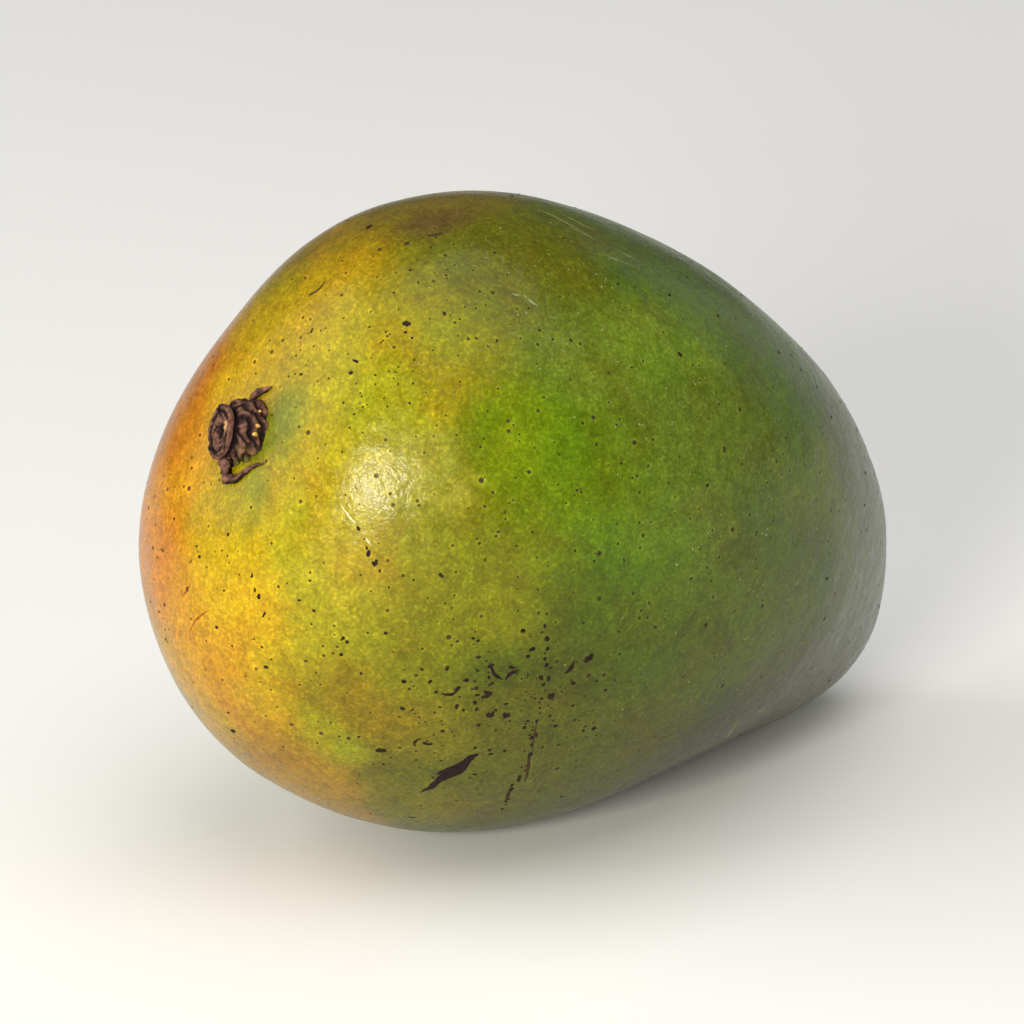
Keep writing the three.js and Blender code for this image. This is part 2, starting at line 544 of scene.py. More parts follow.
@dataclass(frozen=True)
class SkinFinish:
    """The waxy skin: ripening colours with some painted light in them, mottling, flecks, pores and a soft
    gloss under a thin wax coat.
    """

    pore: Colour = (0.022, 0.012, 0.005)
    ring: Colour = (1.6, 1.5, 1.5)
    pore_share: float = 0.9
    ring_share: float = 0.5
    swell: Lumps = Lumps(3.2, 3.0, 0.6)
    mottles: tuple[Mottle, ...] = (
        Mottle(SkinNoise.CLOUDS, 0.48, 0.7, 0.75, (0.92, 0.68, 0.4)),
        Mottle(SkinNoise.BLUSH, 0.55, 0.38, 0.55, (0.62, 0.85, 0.5)),
        Mottle(SkinNoise.PATCHES, 0.6, 0.36, 0.42, (0.45, 0.41, 0.28)),
        Mottle(SkinNoise.GRAIN, 0.52, 0.34, 0.4, (0.45, 0.41, 0.28)),
        Mottle(SkinNoise.GRAIN, 0.54, 0.72, 0.6, (2.0, 1.8, 1.9)),
    )
    layers: tuple[PoreLayer, ...] = (
        PoreLayer(cell=1.2, radius=0.21, ring=0.52, share=0.17, grows=0.3),
        PoreLayer(cell=2.4, radius=0.33, ring=0.9, share=0.07, grows=0.7),
    )
    dull_noise: Range = (0.3, 0.7)
    dullness: Range = (0.22, 0.35)
    pore_dullness: float = 0.3
    grain_depth: float = 0.045
    swell_depth: float = 0.17
    pore_depth: float = 0.06
    gloss_tint: Colour = (1.0, 0.94, 0.72)
    gloss: tuple[tuple[str, float], ...] = (
        ("IOR", 1.42),
        ("Specular IOR Level", 0.32),
        ("Coat Weight", 0.12),
        ("Coat Roughness", 0.1),
        ("Coat IOR", 1.4),
    )

    def material(self) -> bpy.types.Material:
        """Builds the skin's nodes.

        Returns:
            The material.
        """
        graph = Graph("mango skin")
        # The painted colours are the skin's ripeness, with painted highlight glow, sheen and shade in some
        # patches.
        tint = graph.painted("ripeness_and_painted_light").outputs["Color"]
        crowding = graph.painted("pores").outputs["Fac"]
        noises = {kind: graph.noise(kind.value) for kind in SkinNoise}
        for mottle in self.mottles:
            share = graph.between(noises[mottle.noise], mottle.none, mottle.full, 0.0, mottle.most)
            tint = graph.mixed(share, tint, mottle.tint, "MULTIPLY")
        pits = None
        for layer in self.layers:
            dots, rings = layer.masks(graph, crowding)
            tint = graph.mixed(graph.maths("MULTIPLY", rings, self.ring_share), tint, self.ring, "MULTIPLY")
            tint = graph.mixed(graph.maths("MULTIPLY", dots, self.pore_share), tint, self.pore)
            pits = dots if pits is None else graph.maths("MAXIMUM", pits, dots)
        graph.feed(graph.shader.inputs["Base Color"], tint)
        rough = graph.between(noises[SkinNoise.PATCHES], *self.dull_noise, *self.dullness)
        rough = graph.maths("MULTIPLY_ADD", pits, self.pore_dullness, rough, clamp=True)
        graph.feed(graph.shader.inputs["Roughness"], rough)
        peel = graph.relief(noises[SkinNoise.GRAIN], self.grain_depth)
        swell = graph.relief(graph.noise(self.swell), self.swell_depth, peel)
        sunk = graph.relief(graph.maths("SUBTRACT", 1.0, pits), self.pore_depth, swell)
        graph.feed(graph.shader.inputs["Normal"], sunk)
        graph.feed(graph.shader.inputs["Coat Normal"], sunk)
        graph.feed(graph.shader.inputs["Specular Tint"], self.gloss_tint)
        for name, value in self.gloss:
            graph.shader.inputs[name].default_value = value
        return graph.material


@dataclass(frozen=True)
class BarkFinish:
    """The dry stalk: mauve-brown bark with painted shade in its crevices, pale ridges that are partly worn
    bark and partly painted highlight, and some green left.
    """

    bark: Colour = (0.04, 0.017, 0.013)
    # Pale ridge colour: partly the bark's own worn colour, partly painted highlight.
    ridge: Colour = (0.25, 0.118, 0.078)
    worn: Colour = (0.48, 0.28, 0.12)
    # Painted shade in the bark's crevices.
    painted_crevice_shade: Colour = (0.004, 0.002, 0.002)
    green: Colour = (0.15, 0.16, 0.02)
    fibre: Lumps = Lumps(0.4, 4.0, 0.75)
    fibre_share: float = 0.9
    fibre_middle: float = 0.45
    ridges: Range = (0.68, 1.2)
    crevices: Range = (0.32, 0.72)
    green_fibres: Range = (0.3, 0.55)
    worn_fibres: Range = (0.25, 0.45)
    dull_fibres: Range = (0.3, 0.7)
    dullness: Range = (0.55, 0.85)
    crumb: Lumps = Lumps(0.28, 3.0, 0.7)
    crumb_depth: float = 0.08
    gloss: float = 0.12

    def material(self) -> bpy.types.Material:
        """Builds the bark's nodes.

        Returns:
            The material.
        """
        graph = Graph("dry stalk")
        relief = graph.painted("relief").outputs["Fac"]
        fresh = graph.painted("fresh").outputs["Fac"]
        worn = graph.painted("worn").outputs["Fac"]
        fibre = graph.noise(self.fibre)
        height = graph.maths("SUBTRACT", relief, self.fibre_middle)
        height = graph.maths("MULTIPLY_ADD", fibre, self.fibre_share, height)
        # Ridges of the relief painted paler: partly worn bark, partly painted highlight.
        tint = graph.mixed(graph.between(height, *self.ridges), self.bark, self.ridge)
        green = graph.maths("MULTIPLY", fresh, graph.between(fibre, *self.green_fibres))
        tint = graph.mixed(green, tint, self.green)
        # Painted shade: the crevices of the relief go near black.
        tint = graph.mixed(graph.between(height, *self.crevices, 1.0, 0.0), tint, self.painted_crevice_shade)
        rubbed = graph.maths("MULTIPLY", worn, graph.between(fibre, *self.worn_fibres))
        tint = graph.mixed(rubbed, tint, self.worn)
        graph.feed(graph.shader.inputs["Base Color"], tint)
        rough = graph.between(fibre, *self.dull_fibres, *self.dullness)
        graph.feed(graph.shader.inputs["Roughness"], rough)
        graph.feed(graph.shader.inputs["Normal"], graph.relief(graph.noise(self.crumb), self.crumb_depth))
        graph.shader.inputs["Specular IOR Level"].default_value = self.gloss
        return graph.material


@dataclass(frozen=True)
class SpotFinish:
    """A dull or glossy spot of one colour with a little grain, such as a scar or a bead of sap."""

    name: str
    dark: Colour
    pale: Colour
    roughness: float
    gloss: float = 0.15
    grain: float = 0.4
    depth: float = 0.04
    speckles: Range = (0.35, 0.65)

    def material(self) -> bpy.types.Material:
        """Builds the spot's nodes.

        Returns:
            The material.
        """
        graph = Graph(self.name)
        speckle = graph.noise(Lumps(self.grain, 3.0, 0.6))
        tint = graph.mixed(graph.between(speckle, *self.speckles), self.dark, self.pale)
        graph.feed(graph.shader.inputs["Base Color"], tint)
        graph.feed(graph.shader.inputs["Normal"], graph.relief(speckle, self.depth))
        graph.shader.inputs["Roughness"].default_value = self.roughness
        graph.shader.inputs["Specular IOR Level"].default_value = self.gloss
        return graph.material


@dataclass(frozen=True)
class SkinPatch:
    """A patch of the skin's colour; in a few patches this is painted highlight glow, sheen and shade. It
    fades into its neighbours.
    """

    name: str
    colour: Colour
    turn: float
    cheek: float
    spread: float
    weight: float = 1.0

    def pull(self, directions: np.ndarray) -> np.ndarray:
        """Tells how strongly the patch colours each direction.

        Args:
            directions: Unit vectors, one a row.

        Returns:
            Weights, one for each direction.
        """
        return Lobe(self.name, self.turn, self.cheek, 0.0, self.spread).weight(directions) * self.weight


def skin_patches() -> tuple[SkinPatch, ...]:
    """Lists the skin's patches, from the ripe stem end to the green tip; a few are painted highlight glow,
    shade and sheen.

    Returns:
        The patches, with their places and spreads in degrees.
    """
    return (
        SkinPatch("orange flank below the stem", (0.493, 0.181, 0.003), 164, 8, 11),
        SkinPatch("orange flank beside the stem", (0.4, 0.14, 0.003), -173, 28, 13),
        SkinPatch("tan flank", (0.485, 0.262, 0.006), 148, -5, 11),
        SkinPatch("tan belly", (0.308, 0.176, 0.006), 131, -16, 11),
        SkinPatch("gold round the stem", (0.387, 0.266, 0.003), 174, -5, 9),
        SkinPatch("deep gold below the stem", (0.522, 0.34, 0.003), 166, -15, 8),
        SkinPatch("gold above the stem", (0.355, 0.237, 0.003), -155, 6, 13),
        SkinPatch("orange gold over the stem", (0.479, 0.3, 0.003), -165, 9, 7),
        SkinPatch("light green blot", (0.288, 0.289, 0.003), 143, -29, 6, 0.8),
        SkinPatch("yellow shoulder", (0.335, 0.284, 0.003), -155, -17, 12),
        SkinPatch("pale shoulder", (0.375, 0.31, 0.009), 170, -31, 12),
        SkinPatch("amber belly", (0.238, 0.144, 0.003), 150, -36, 7, 0.9),
        SkinPatch("amber flank", (0.473, 0.297, 0.004), 148, -23, 5),
        SkinPatch("olive by the scar", (0.17, 0.15, 0.003), 142, -45, 8),
        SkinPatch("olive back", (0.124, 0.135, 0.003), -130, -13, 14),
        SkinPatch("brown ridge of the back", (0.18, 0.13, 0.004), -127, 14, 11),
        SkinPatch("tan ridge behind the shoulder", (0.27, 0.18, 0.004), -145, 24, 11),
        SkinPatch("mauve blot", (0.099, 0.045, 0.02), -131, 2.3, 4.2, 0.8),
        SkinPatch("olive cheek", (0.184, 0.193, 0.003), -172, -47, 13),
        SkinPatch("green cheek", (0.107, 0.192, 0.003), -145, -60, 15, 1.2),
        SkinPatch("light cheek", (0.161, 0.227, 0.003), -148, -41, 6),
        SkinPatch("dull cheek", (0.083, 0.11, 0.003), -171, -70, 9, 1.3),
        SkinPatch("green belly", (0.088, 0.098, 0.003), 112, -52, 18),
        SkinPatch("lit belly", (0.153, 0.144, 0.003), 117, -36, 7),
        # Painted sheen: the side toward the right softbox is painted paler and greyer, partly the skin's own
        # grey-green.
        SkinPatch("grey-green side with painted sheen", (0.125, 0.178, 0.017), -104, -56, 15),
        SkinPatch("pale green upper side with painted sheen", (0.14, 0.19, 0.015), -126, -33, 7, 0.8),
        SkinPatch("painted sheen on the side", (0.184, 0.263, 0.02), -106, -36, 8),
        SkinPatch("grey bloom at the tip", (0.083, 0.121, 0.004), -30, -70, 22, 1.2),
        SkinPatch("dull side of the beak", (0.042, 0.039, 0.003), 40, -52, 20),
        SkinPatch("green back", (0.089, 0.158, 0.003), -85, -25, 18),
        SkinPatch("green tip", (0.055, 0.08, 0.003), -20, -10, 30),
        SkinPatch("yellow far shoulder", (0.31, 0.27, 0.005), -170, 48, 16),
        SkinPatch("green far cheek", (0.105, 0.17, 0.003), 170, 78, 30),
        SkinPatch("green far back", (0.1, 0.155, 0.003), -90, 35, 26),
        SkinPatch("olive far belly", (0.15, 0.16, 0.004), 115, 35, 26),
        # Painted highlight: a pale glow painted round the key light's highlight on the cheek.
        SkinPatch("painted glow round the highlight", (0.36, 0.3, 0.035), -164, -35.5, 7, 1.1),
        # Painted shade: olive and green painted darker below the highlight's glow, partly the skin's own
        # green.
        SkinPatch("olive with painted shade under the glow", (0.175, 0.16, 0.003), 167, -42, 7, 1.1),
        SkinPatch("painted shade at the lower edge of the glow", (0.175, 0.16, 0.003), 180, -45, 5.5, 1.1),
        SkinPatch("deep green with painted shade over the scar", (0.066, 0.083, 0.003), 163, -65, 7, 1.1),
        SkinPatch("light olive behind the shoulder", (0.26, 0.232, 0.003), -139, -21, 6, 0.8),
        SkinPatch("gold orange below the stem", (0.5, 0.265, 0.003), 171, 8, 7),
        # Painted sheen: a paler green by the tip.
        SkinPatch("painted sheen by the tip", (0.135, 0.185, 0.01), -61, -55, 8),
        SkinPatch("halo at the stem", (0.165, 0.19, 0.014), -171.5, -4.9, 5, 1.5),
        SkinPatch("halo below the stem", (0.223, 0.225, 0.015), 178, -9, 3.5, 1.2),
    )


@dataclass
class Fruit:
    """The fruit itself: one fine closed skin, pressed flat where it rests."""

    form: FruitForm
    splits: int = 7
    stray: float = 0.075
    stray_scale: float = 5.5
    stray_shift: float = 9.0
    sharpness: float = 1.5
    fewest_pores: float = 0.14
    crowded: tuple[Lobe, ...] = (
        Lobe("spotted belly", 147, -52, 0.75, 17),
        Lobe("spotted side", -130, -62, 0.3, 30),
        Lobe("spotted shoulder", -152, -12, 0.5, 22),
    )

    def build(self) -> bpy.types.Object:
        """Models the skin and paints its ripeness, with some painted highlight glow, sheen and shade in it.

        Returns:
            The skin, which stands for the CAD's fruit.
        """
        shape = bmesh.new()
        bmesh.ops.create_icosphere(shape, subdivisions=self.splits, radius=1.0)
        directions = np.array([vertex.co[:] for vertex in shape.verts])
        directions /= np.linalg.norm(directions, axis=1)[:, None]
        self.form.settle(self.form.skin(directions), *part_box("fruit"))
        places = self.form.laid(self.form.uneven_skin(directions))
        places[:, 2] = np.maximum(places[:, 2], 0.0)
        move_vertices(shape.verts, places)
        piece = mesh_object("Skin", shape)
        self._paint(piece.data, directions)
        piece.data.materials.append(SkinFinish().material())
        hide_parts("fruit")
        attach(piece, "root")
        return piece

    def _paint(self, mesh: bpy.types.Mesh, directions: np.ndarray) -> None:
        """Paints the ripening colours, among them painted highlight glow, painted sheen and painted shade,
        and how crowded the pores are.

        Args:
            mesh: The skin's mesh.
            directions: The unit direction of each of its vertices.
        """
        patches = skin_patches()
        shifts = [np.array([0.0, 0.0, self.stray_shift * axis]) for axis in range(3)]
        wander = [smooth_noise(directions * self.stray_scale + shift) for shift in shifts]
        strayed = directions + self.stray * np.stack(wander, axis=1)
        strayed /= np.linalg.norm(strayed, axis=1)[:, None]
        least = 1e-6
        pulls = np.stack([patch.pull(strayed) for patch in patches]) ** self.sharpness + least
        shares = pulls / pulls.sum(0)
        colours = shares.T @ np.array([patch.colour for patch in patches])
        # Ripeness colours, partly painted highlight glow, sheen and shade.
        ripeness_and_painted_light = mesh.attributes.new("ripeness_and_painted_light", "FLOAT_COLOR", "POINT")
        ripeness_and_painted_light.data.foreach_set("color", np.c_[colours, np.ones(len(colours))].ravel())
        crowding = self.fewest_pores + sum(lobe.height * lobe.weight(directions) for lobe in self.crowded)
        pores = mesh.attributes.new("pores", "FLOAT", "POINT")
        pores.data.foreach_set("value", np.clip(crowding, 0.0, 1.0))


class MarkKind(Enum):
    """The kinds of marks on the skin, with the finish that each has."""

    SPOT = SpotFinish("dark spot", (0.006, 0.004, 0.003), (0.035, 0.018, 0.009), 0.7)
    SCAR = SpotFinish("brown scar", (0.008, 0.004, 0.004), (0.028, 0.012, 0.012), 0.75)
    # Pale scratches; the same finish also serves the pale wrinkles that paint the highlight's sparkle.
    SCRATCH = SpotFinish("pale scratch", (0.42, 0.38, 0.12), (0.75, 0.7, 0.42), 0.4, 0.4, 0.5)
    RUST = SpotFinish("rusty crack", (0.2, 0.045, 0.006), (0.36, 0.11, 0.01), 0.6)
    STREAK = SpotFinish("thin brown line", (0.025, 0.014, 0.006), (0.07, 0.045, 0.012), 0.65)
    SCUFF = SpotFinish("pale scuff", (0.14, 0.18, 0.05), (0.3, 0.34, 0.16), 0.5, grain=0.7)


@dataclass(frozen=True)
class Mark:
    """A scar or spot that lies in the skin: a thin grain, pointed or blunt, with an uneven edge."""

    kind: MarkKind
    turn: float
    cheek: float
    length: float
    width: float
    heading: float = 0.0
    point: float = 0.0
    lean: float = 0.0
    curve: float = 0.0
    rise: float = 0.05
    root: float = 0.25
    ragged: float = 0.8
    ragged_scale: float = 2.1
    reach: float = 1.02
    bend_middle: float = 0.4

    def add_to(self, shape: bmesh.types.BMesh, form: FruitForm, splits: int, seed: float) -> None:
        """Models the mark in a bmesh.

        Args:
            shape: The bmesh of all marks of this kind.
            form: The fruit's form.
            splits: How finely the mark is split.
            seed: Where its uneven edge is taken from.
        """
        made = bmesh.ops.create_icosphere(shape, subdivisions=splits, radius=1.0)["verts"]
        along, across, up = np.array([vertex.co[:] for vertex in made]).T
        narrow = np.clip(self.reach - np.abs(along), 0.0, 1.0) ** self.point * (1.0 + self.lean * along)
        flat = np.stack([along, across, np.zeros(len(up))], axis=1) * self.ragged_scale
        flat += np.array([seed, 0.0, seed])
        x = along * self.length / 2
        y = across * self.width / 2 * narrow * (1.0 + self.ragged * smooth_noise(flat))
        y += self.curve * (along ** 2 - self.bend_middle)
        z = np.where(up > 0, up * self.rise, up * self.root)
        chart = SkinChart(form, self.turn, self.cheek, self.heading)
        move_vertices(made, chart.place(np.stack([x, y, z], axis=1)))


def named_marks() -> tuple[Mark, ...]:
    """Lists the marks that can be told apart one by one.

    Returns:
        The marks: each one's turn and cheek in degrees, length and width in millimetres, and heading.
    """
    spot = partial(Mark, MarkKind.SPOT)
    scar = partial(Mark, MarkKind.SCAR)
    rust = partial(Mark, MarkKind.RUST, point=0.3, rise=0.04)
    scratch = partial(Mark, MarkKind.SCRATCH, point=0.3, rise=0.04)
    streak = partial(Mark, MarkKind.STREAK, point=0.3, rise=0.04)
    scuff = partial(Mark, MarkKind.SCUFF, point=0.3, rise=0.03)
    return (
        scar(127.8, -45.0, 8.8, 1.9, 81, point=0.3, lean=0.2),
        scar(124.9, -40.6, 5.6, 0.8, 84, point=0.3, lean=0.4),
        scar(130.8, -49.2, 2.3, 1.15, 70),
        scar(128.8, -44.8, 3.6, 1.1, 62, point=0.3),
        scar(158.4, -56.5, 3.6, 0.55, -32, point=0.3, curve=0.5),
        scar(157.4, -58.9, 2.4, 0.7, 60, point=0.3, curve=-0.4),
        scar(159.9, -59.0, 1.2, 0.5, 10, point=0.3),
        spot(157.8, -67.6, 2.2, 0.6, 80, curve=0.3),
        spot(161.8, -70.4, 1.6, 0.9, 60),
        scar(152.4, -49.8, 2.3, 0.45, 36, curve=0.45),
        scar(139.3, -43.0, 2.0, 0.4, 100, curve=-0.5),
        scar(138.4, -44.4, 1.4, 0.5, 20, curve=0.2),
        spot(151.6, -55.3, 1.4, 0.7, -11),
        spot(143.9, -54.9, 1.2, 0.8, 6),
        spot(142.6, -57.2, 1.3, 0.8, 0),
        spot(145.9, -64.3, 1.1, 0.9, 50),
        spot(138, -37.1, 1.5, 0.9, 41),
        spot(115, -30.6, 1.1, 0.4, 48, curve=0.3),
        spot(-145.2, -15.2, 1.15, 0.75, -20),
        spot(-154.5, -13.7, 1.0, 0.4, -45),
        spot(-156.3, -14.6, 0.6, 0.5, 11),
        scratch(-175.3, -28.6, 3.6, 0.26, -38, curve=0.15),
        scratch(-178.0, -33.4, 1.6, 0.2, -38),
        rust(157.3, -7.7, 6.5, 0.3, -64, curve=0.5),
        rust(160.5, -4.0, 3.0, 0.25, -50, curve=-0.2),
        streak(112, -47.5, 6.5, 0.55, -60, curve=0.3),
        streak(119, -54.5, 7.5, 0.5, -58, curve=-0.2),
        streak(131, -59.5, 7.0, 0.3, -64, curve=0.2),
        streak(-150.0, 4.0, 3.0, 0.35, -20, point=0.0, curve=0.5),
        streak(-132.0, -2.0, 2.2, 0.5, -10, point=0.0, curve=0.4),
        spot(14, 0, 2.4, 1.9, rise=0.12),
        scuff(-111.5, -3.3, 7.7, 0.22, -52),
        scuff(-108.5, -2.5, 5.0, 0.16, -48),
        scuff(-110.0, -7.5, 4.5, 0.16, -40, curve=0.2),
        scuff(-107.2, -15.5, 7.1, 0.22, -15),
        scuff(-104.5, -13.0, 4.0, 0.18, -25),
        scuff(-127.6, -22.7, 2.6, 0.35, -51, curve=0.2),
        scuff(-129.0, -20.8, 1.6, 0.2, -20),
        scuff(50.6, -55.8, 7.5, 0.42, -58, curve=0.15),
        scuff(48.6, -57.0, 4.6, 0.24, -54),
        scuff(38.9, -55.2, 6.5, 0.3, -12, curve=0.3),
        scuff(30.2, -38.4, 4.5, 0.28, -68),
        scuff(25.6, -45.3, 2.9, 0.25, -83),
        scuff(17.4, -51.1, 2.4, 0.35, -93),
    )


@dataclass(frozen=True)
class PaintedGlintWrinkles:
    """Short pale wrinkles along a line inside the highlight, whose ends are given as turn and cheek. Their
    paleness is painted highlight sparkle on the wrinkled skin.
    """

    start: Range
    end: Range
    count: int
    lengths: Range = (0.4, 1.1)
    widths: Range = (0.1, 0.2)
    headings: Range = (-75.0, 0.0)
    stray_turn: Range = (-0.9, 0.9)
    stray_cheek: Range = (-0.5, 0.5)

    def marks(self, chance: random.Random) -> list[Mark]:
        """Lists the wrinkles.

        Args:
            chance: The source of random numbers.

        Returns:
            One mark for each wrinkle.
        """
        start, end = np.array(self.start), np.array(self.end)
        marks = []
        for i in range(self.count):
            turn, cheek = start + (end - start) * (i + chance.random()) / self.count
            length = chance.uniform(*self.lengths)
            turn += chance.uniform(*self.stray_turn)
            cheek += chance.uniform(*self.stray_cheek)
            width = chance.uniform(*self.widths)
            heading = chance.uniform(*self.headings)
            # The pale scratch finish here is painted highlight sparkle on the wrinkled skin.
            marks.append(Mark(MarkKind.SCRATCH, turn, cheek, length, width, heading, point=0.3, rise=0.03))
        return marks


@dataclass(frozen=True)
class DottedLine:
    """A dotted scratch: the corners of its way over the skin, as turns and cheeks, and its dots."""

    corners: tuple[Range, ...]
    dots: int
    widths: Range = (0.22, 0.55)
    stretch: Range = (1.0, 2.2)
    spacing: Range = (-0.3, 0.3)
    stray_turn: Range = (-0.7, 0.7)
    stray_cheek: Range = (-0.5, 0.5)
    heading: float = -67.0
    swing: Range = (-20.0, 20.0)

    def marks(self, chance: random.Random) -> list[Mark]:
        """Lists the dots.

        Args:
            chance: The source of random numbers.

        Returns:
            One mark for each dot.
        """
        corners = np.array(self.corners)
        spans = len(corners) - 1
        marks = []
        for i in range(self.dots):
            place = (i + chance.uniform(*self.spacing)) / (self.dots - 1) * spans
            span = min(max(int(place), 0), spans - 1)
            turn, cheek = corners[span] + (corners[span + 1] - corners[span]) * (place - span)
            width = chance.uniform(*self.widths)
            turn += chance.uniform(*self.stray_turn)
            cheek += chance.uniform(*self.stray_cheek)
            length = width * chance.uniform(*self.stretch)
            heading = self.heading + chance.uniform(*self.swing)
            marks.append(Mark(MarkKind.SPOT, turn, cheek, length, width, heading))
        return marks


@dataclass(frozen=True)
class SpottedArea:
    """Scattered marks round one direction, few of them large."""

    kind: MarkKind
    turn: float
    cheek: float
    spread: float
    count: int
    growth: float
    smallest: float = 0.24
    rarity: float = 2.2
    gather: float = 0.6
    stretch: Range = (1.0, 1.7)
    headings: Range = (-90.0, 90.0)

    def marks(self, chance: random.Random) -> list[Mark]:
        """Lists the scattered marks.

        Args:
            chance: The source of random numbers.

        Returns:
            The marks.
        """
        middle = toward(self.turn, self.cheek)
        reach = math.radians(self.spread) * self.gather
        marks = []
        for _ in range(self.count):
            way = middle + reach * np.array([chance.gauss(0, 1) for _ in range(3)])
            way /= np.linalg.norm(way)
            turn, cheek = math.degrees(math.atan2(way[1], way[0])), math.degrees(math.asin(way[2]))
            width = self.smallest + self.growth * chance.random() ** self.rarity
            length = width * chance.uniform(*self.stretch)
            marks.append(Mark(self.kind, turn, cheek, length, width, chance.uniform(*self.headings)))
        return marks


def loose_marks() -> tuple[DottedLine | SpottedArea | PaintedGlintWrinkles, ...]:
    """Lists the groups of marks that are laid at random.

    Returns:
        The dotted scratches, the spotted areas, most of them on the near side, and the pale wrinkles, whose
        paleness is painted highlight sparkle.
    """
    spots = partial(SpottedArea, MarkKind.SPOT)
    scuffs = partial(SpottedArea, MarkKind.SCUFF)
    corners = ((174.9, -62.6), (157.9, -64.4), (141, -62.3), (125, -57.5), (115, -50.5), (107.2, -43.3))
    return (
        DottedLine(corners, 36),
        DottedLine(((167.6, -17.5), (166, -18.7), (164, -20), (162.2, -21.4)), 7),
        DottedLine(((-176.8, -31.2), (-179.8, -34.4), (-182.5, -37.0)), 7),
        spots(150, -60, 11, 60, 0.4),
        spots(147, -46, 11, 26, 0.3),
        spots(135, -58, 13, 40, 0.25),
        spots(155, -25, 22, 35, 0.25),
        spots(-152, -16, 17, 65, 0.12),
        spots(-160, -45, 40, 70, 0.15),
        spots(-60, -30, 45, 60, 0.3),
        spots(165, 5, 15, 25, 0.2),
        spots(150, 40, 50, 60, 0.6),
        spots(-60, 50, 50, 50, 0.5),
        spots(60, 0, 45, 30, 0.4),
        scuffs(-40, -68, 26, 80, 0.1),
        scuffs(-110, -48, 26, 60, 0.1),
        scuffs(-120, -15, 14, 25, 0.1),
        # Pale wrinkles inside the highlight: painted highlight sparkle.
        PaintedGlintWrinkles((-168.9, -26.3), (-171.3, -34.5), 13),
    )


@dataclass
class Marks:
    """Every scar and larger spot: the named ones and the ones that are laid at random."""

    form: FruitForm
    seed: int = 11
    clearance: float = 1.5
    speck: float = 0.5
    named_splits: int = 4
    spot_splits: int = 2
    speck_splits: int = 1
    edge_range: float = 40.0

    def build(self) -> list[bpy.types.Object]:
        """Models the marks, one piece for each kind.

        Returns:
            The pieces.
        """
        chance = random.Random(self.seed)
        loose = [mark for group in loose_marks() for mark in group.marks(chance)]
        marks = [(mark, self.named_splits) for mark in named_marks()]
        marks += [(mark, self._splits(mark)) for mark in loose if self._clear_of_floor(mark)]
        pieces = []
        for kind in MarkKind:
            shape = bmesh.new()
            for mark, splits in marks:
                if mark.kind is kind:
                    mark.add_to(shape, self.form, splits, chance.uniform(0.0, self.edge_range))
            piece = mesh_object("Marks_" + kind.name.lower(), shape)
            piece.data.materials.append(kind.value.material())
            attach(piece, "root")
            pieces.append(piece)
        return pieces

    def _splits(self, mark: Mark) -> int:
        """Tells how finely a mark that is laid at random is split."""
        return self.spot_splits if mark.length > self.speck else self.speck_splits

    def _clear_of_floor(self, mark: Mark) -> bool:
        """Tells whether a mark lies well above the surface that the fruit rests on."""
        place = self.form.laid(self.form.skin(toward(mark.turn, mark.cheek)[None]))[0]
        return place[2] > self.clearance * MM


@dataclass(frozen=True)
class DryScale:
    """A narrow dry scale that lies along the skin: a tapering bar swept along a path."""

    path: tuple[tuple[float, float, float, float], ...]
    sides: int = 12
    cuts: int = 6
    thickness: float = 0.75
    rough_scale: float = 1500.0
    rough_round: float = 1.3
    roughness: float = 0.7
    blunt: int = 8
    least_end: float = 0.02
    side_relief: float = 0.4
    painted_top_light: float = 0.55
    rough_relief: float = 0.6

    def add_to(self, shape: bmesh.types.BMesh, form: FruitForm) -> None:
        """Sweeps the scale in a bmesh.

        Args:
            shape: The bmesh of all scales.
            form: The fruit's form.
        """
        relief = shape.verts.layers.float.get("relief") or shape.verts.layers.float.new("relief")
        knots = np.array(self.path)
        spans = len(knots) - 1
        along = np.linspace(0.0, spans, spans * self.cuts + 1)
        rows = np.stack([np.interp(along, np.arange(spans + 1), column) for column in knots.T], axis=1)
        charts = [SkinChart(form, turn, cheek) for turn, cheek, _, _ in rows]
        lifts = [np.array([[0.0, 0.0, lift]]) for lift in rows[:, 2]]
        middles = np.array([chart.place(lift)[0] for chart, lift in zip(charts, lifts)])
        ways = np.gradient(middles, axis=0)
        loops = []
        for i, (chart, way, middle) in enumerate(zip(charts, ways, middles)):
            up = form.rest_turn @ chart.normal
            way = way / np.linalg.norm(way)
            across = np.cross(way, up)
            across /= np.linalg.norm(across)
            round_end = math.sqrt(max(1.0 - (2.0 * i / (len(rows) - 1) - 1.0) ** self.blunt, self.least_end))
            size = rows[i][3] * round_end * MM
            ring = []
            for k in range(self.sides):
                cos, sin = math.cos(2 * math.pi * k / self.sides), math.sin(2 * math.pi * k / self.sides)
                spot = middle * self.rough_scale + np.array([cos, sin, 0.0]) * self.rough_round
                rough = 1.0 + self.roughness * noise.noise(Vector(spot))
                out = cos * across + self.thickness * sin * up
                vertex = shape.verts.new(middle + size * rough * out)
                # Painted light: each scale's relief is paler on top and darker underneath.
                vertex[relief] = self.side_relief + self.painted_top_light * sin + self.rough_relief * (rough - 1.0)
                ring.append(vertex)
            loops.append([shape.edges.new(pair) for pair in zip(ring, ring[1:] + ring[:1])])
        for first, second in zip(loops, loops[1:]):
            bmesh.ops.bridge_loops(shape, edges=first + second)
        for loop in (loops[0], loops[-1]):
            bmesh.ops.edgeloop_fill(shape, edges=loop)
        bmesh.ops.recalc_face_normals(shape, faces=shape.faces)


